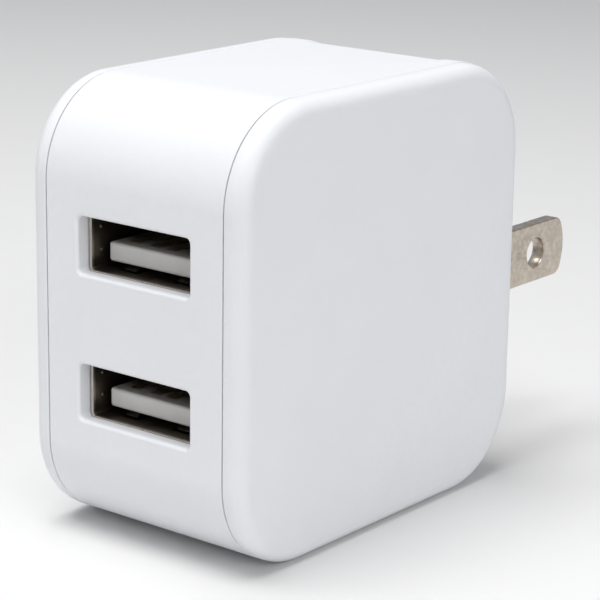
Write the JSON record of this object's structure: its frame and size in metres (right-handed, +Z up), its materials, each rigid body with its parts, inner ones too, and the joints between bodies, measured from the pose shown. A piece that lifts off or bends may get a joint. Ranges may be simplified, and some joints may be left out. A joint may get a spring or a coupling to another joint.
{
  "type": "usb wall charger",
  "caption": "Compact wall charger: rounded-square housing of a centre band and side covers, stacked USB-A ports and a flat-blade plug that folds up into a rear bay.",
  "frame": {"origin": "centre of the housing's flat bottom face", "axes": "+Z up; +Y towards the wall, the way the open blades point; +X to the right, seen from the ports"},
  "size_m": [0.0256, 0.0609, 0.043],
  "materials": {
    "housing_white": "satin white with a fine moulded grain",
    "carrier_white": "satin white",
    "retainer_grey": "moulded, inside the housing",
    "blade_nickel": "satin nickel plate on brass",
    "socket_steel": "folded nickel-plated sheet",
    "socket_insulator": "light grey moulding",
    "contact_plate": "gold-plated contact",
    "spring_bronze": "phosphor bronze",
    "spring_steel": "spring steel",
    "screw_steel": "zinc plate",
    "board_green": "solder resist on glass laminate",
    "ferrite": "sintered ferrite",
    "bobbin_black": "phenolic moulding",
    "winding_tape": "polyester tape over the winding",
    "tinned_leg": "tinned wire",
    "sleeve_black": "shrunk sleeve",
    "can_aluminium": "bare can",
    "disc_blue": "dipped resin",
    "choke_sleeve": "shrunk sleeve on a ferrite drum",
    "fuse_green": "flameproof coating",
    "lead_black": "insulation",
    "lead_white": "insulation",
    "chip_black": "moulded package",
    "small_part_tan": "chip parts",
    "sheet_amber": "thin insulating film"
  },
  "bodies": {
    "housing": {"centre_band": "housing_white", "left_cover": "housing_white", "right_cover": "housing_white", "usb_shell_upper": "socket_steel", "usb_shell_lower": "socket_steel", "usb_insulator_upper": "socket_insulator", "usb_insulator_lower": "socket_insulator", "usb_contacts_upper": "contact_plate", "usb_contacts_lower": "contact_plate", "plug_retainer": "retainer_grey", "retainer_screws": "screw_steel", "contact_spring_left": "spring_bronze", "contact_spring_right": "spring_bronze", "detent_spring": "spring_steel", "input_lead_left": "lead_white", "input_lead_right": "lead_black", "circuit_board": "board_green", "transformer_core": "ferrite", "transformer_bobbin": "bobbin_black", "transformer_winding": "winding_tape", "transformer_pins": "tinned_leg", "input_capacitor_upper": "sleeve_black", "input_capacitor_lower": "sleeve_black", "output_capacitor_front": "can_aluminium", "output_capacitor_rear": "can_aluminium", "y_capacitor": "disc_blue", "filter_choke": "choke_sleeve", "input_fuse": "fuse_green", "control_chip": "chip_black", "output_rectifier_chip": "chip_black", "opto_coupler": "chip_black", "bridge_rectifier": "chip_black", "small_parts": "small_part_tan", "insulation_sheet": "sheet_amber"},
    "plug": {"blade_carrier": "carrier_white", "blade_left": "blade_nickel", "blade_right": "blade_nickel"}
  },
  "joints": [
    {"name": "plug_fold", "type": "hinge", "parent": "housing", "child": "plug", "pos_m": [0, 0.0163, 0.0196], "axis": [1, 0, 0], "range_deg": [0, 90], "deforming": ["detent_spring"]}
  ]
}
